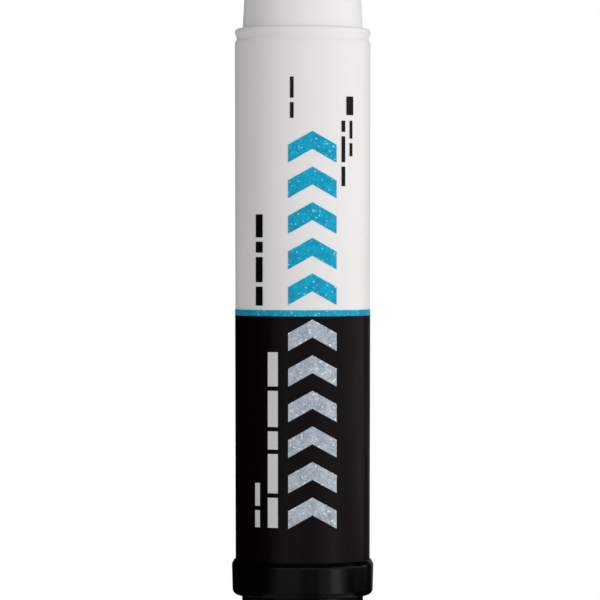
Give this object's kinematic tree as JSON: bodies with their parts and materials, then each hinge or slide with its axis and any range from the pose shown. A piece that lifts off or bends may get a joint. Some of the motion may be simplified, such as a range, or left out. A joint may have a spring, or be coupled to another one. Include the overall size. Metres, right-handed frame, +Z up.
{
  "type": "toothpaste pump dispenser",
  "caption": "Upright toothpaste pump dispenser, black below and white above, with a pull-off cap over a push button and spout, and a follower piston under the paste.",
  "frame": {"origin": "centre of the foot's underside, where the dispenser stands", "axes": "+Z up along the barrel's axis towards the cap, the printed front and the spout face -Y, +X to the right seen from the front"},
  "size_m": [0.0356, 0.0356, 0.1764],
  "materials": {
    "white_shell": "smooth white polypropylene",
    "white_head": "smooth white polypropylene",
    "natural_plastic": "uncoloured polyethylene",
    "black_base": "smooth black polypropylene",
    "black_ink": "printed black, satin gloss",
    "blue_glitter": "blue glitter ink",
    "silver_glitter": "silver glitter ink",
    "white_ink": "printed white",
    "spring_steel": "drawn stainless wire and sheet",
    "seal_rubber": "black nitrile",
    "valve_silicone": "pale silicone",
    "paste": "soft pale paste"
  },
  "bodies": {
    "dispenser": {"barrel": "white_shell", "base_cup": "black_base", "toothpaste": "paste", "pump_housing": "white_head", "head_seal": "seal_rubber", "collar": "white_head", "valve_cage": "natural_plastic", "return_spring": "spring_steel", "black_field": "black_ink", "blue_stripe": "blue_glitter", "silver_chevrons": "silver_glitter", "blue_chevrons": "blue_glitter", "black_bars": "black_ink", "white_bars": "white_ink"},
    "follower": {"follower_piston": "natural_plastic", "grip_star": "spring_steel"},
    "pump": {"push_button": "white_head", "nozzle_valve": "valve_silicone", "nozzle_ring": "white_head", "piston_stem": "white_head", "pump_piston": "natural_plastic"},
    "inlet_valve": {"inlet_disc": "valve_silicone"},
    "cap": {"overcap": "white_head"}
  },
  "joints": [
    {"name": "cap_pull", "type": "slide", "parent": "dispenser", "child": "cap", "axis": [0, 0, 1], "range_m": [0, 0.03]},
    {"name": "button_press", "type": "slide", "parent": "dispenser", "child": "pump", "axis": [0, 0, -1], "range_m": [0, 0.005], "stiffness_N_per_m": 1200, "springref_m": -0.003, "deforming": ["return_spring"]},
    {"name": "follower_rise", "type": "slide", "parent": "dispenser", "child": "follower", "axis": [0, 0, 1], "range_m": [0, 0.1006], "deforming": ["toothpaste"]},
    {"name": "inlet_lift", "type": "slide", "parent": "dispenser", "child": "inlet_valve", "axis": [0, 0, 1], "range_m": [0, 0.0007]}
  ]
}
